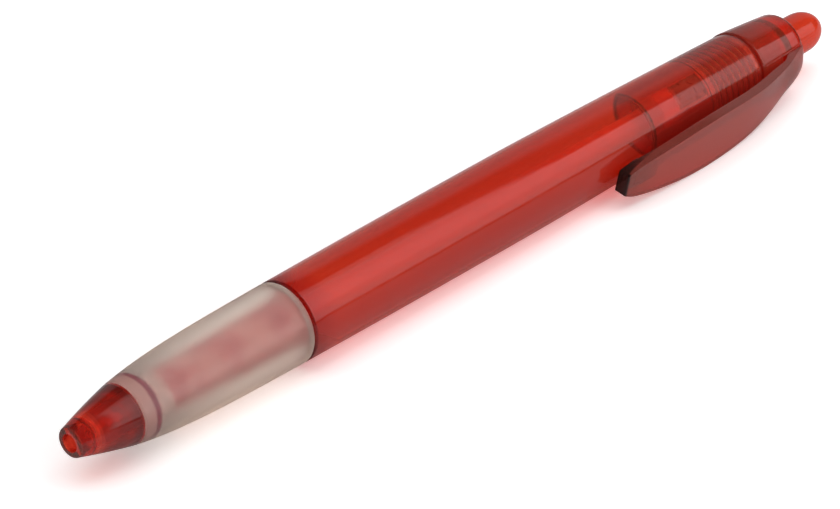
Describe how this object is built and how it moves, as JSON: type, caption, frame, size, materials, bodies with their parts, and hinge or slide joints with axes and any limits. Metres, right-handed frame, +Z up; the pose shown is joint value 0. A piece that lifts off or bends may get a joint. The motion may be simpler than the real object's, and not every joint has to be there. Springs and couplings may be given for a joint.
{
  "type": "retractable ballpoint pen",
  "caption": "Slim retractable ballpoint pen in clear red plastic with a frosted soft grip, a screw-on cap with a leaf-shaped clip and a domed push button.",
  "frame": {"origin": "on the surface the pen lies on, under the middle of its bounding box", "axes": "+X along the pen from the point to the button, +Z up; the clip is on the -Y side"},
  "size_m": [0.142, 0.0152, 0.0114],
  "materials": {
    "clear_red": "polished clear red plastic",
    "bright_red": "polished clear red plastic",
    "smoky_red": "polished clear red plastic, darker through its thickness",
    "frosted_grip": "frosted, see-through, soft",
    "spring_steel": "bright drawn wire",
    "refill_plastic": "clear plastic",
    "red_ink": "wet ink seen through its tube",
    "clear_grease": "clear grease",
    "point_brass": "turned metal",
    "ball_steel": "polished"
  },
  "bodies": {
    "barrel": {"barrel": "clear_red", "nose_cone": "clear_red", "grip_sleeve": "frosted_grip", "return_spring": "spring_steel"},
    "guide": {"guide_tube": "clear_red"},
    "cap": {"cap": "clear_red"},
    "clip": {"clip": "smoky_red"},
    "button": {"push_button": "bright_red", "pusher": "clear_red"},
    "rotor": {"cam_rotor": "clear_red"},
    "refill": {"refill_tube": "refill_plastic", "ink_column": "red_ink", "grease_follower": "clear_grease", "tail_plug": "refill_plastic", "refill_tip": "point_brass"},
    "ball": {"writing_ball": "ball_steel"}
  },
  "joints": [
    {"name": "cap_lift", "type": "slide", "parent": "barrel", "child": "guide", "axis": [1, 0, 0], "range_m": [0, 0.009]},
    {"name": "cap_turn", "type": "hinge", "parent": "guide", "child": "cap", "pos_m": [0.0525, 0.00189, 0.00568], "axis": [1, 0, 0], "range_deg": [0, 2700]},
    {"name": "clip_flex", "type": "hinge", "parent": "cap", "child": "clip", "pos_m": [0.0622, -0.0019, 0.0049], "axis": [0, -0.2027, 0.9792], "range_deg": [0, 4], "stiffness_Nm_per_rad": 0.5, "springref_deg": -1.15},
    {"name": "button_press", "type": "slide", "parent": "guide", "child": "button", "axis": [-1, 0, 0], "range_m": [0, 0.006], "stiffness_N_per_m": 300, "springref_m": -0.002, "deforming": ["return_spring"]},
    {"name": "rotor_turn", "type": "hinge", "parent": "button", "child": "rotor", "pos_m": [0.0435, 0.00189, 0.00568], "axis": [1, 0, 0], "range_deg": [0, 45]},
    {"name": "refill_feed", "type": "slide", "parent": "barrel", "child": "refill", "axis": [-1, 0, 0], "range_m": [0, 0.006]},
    {"name": "ball_roll", "type": "hinge", "parent": "refill", "child": "ball", "pos_m": [-0.0671, 0.00189, 0.00568], "axis": [0, 1, 0], "continuous": true}
  ],
  "couplings": [
    {"joint": "cap_turn", "follows": "cap_lift", "rad_per_m": 5236},
    {"joint": "rotor_turn", "follows": "button_press", "rad_per_m": 130.9},
    {"joint": "refill_feed", "follows": "button_press", "ratio": 1}
  ]
}
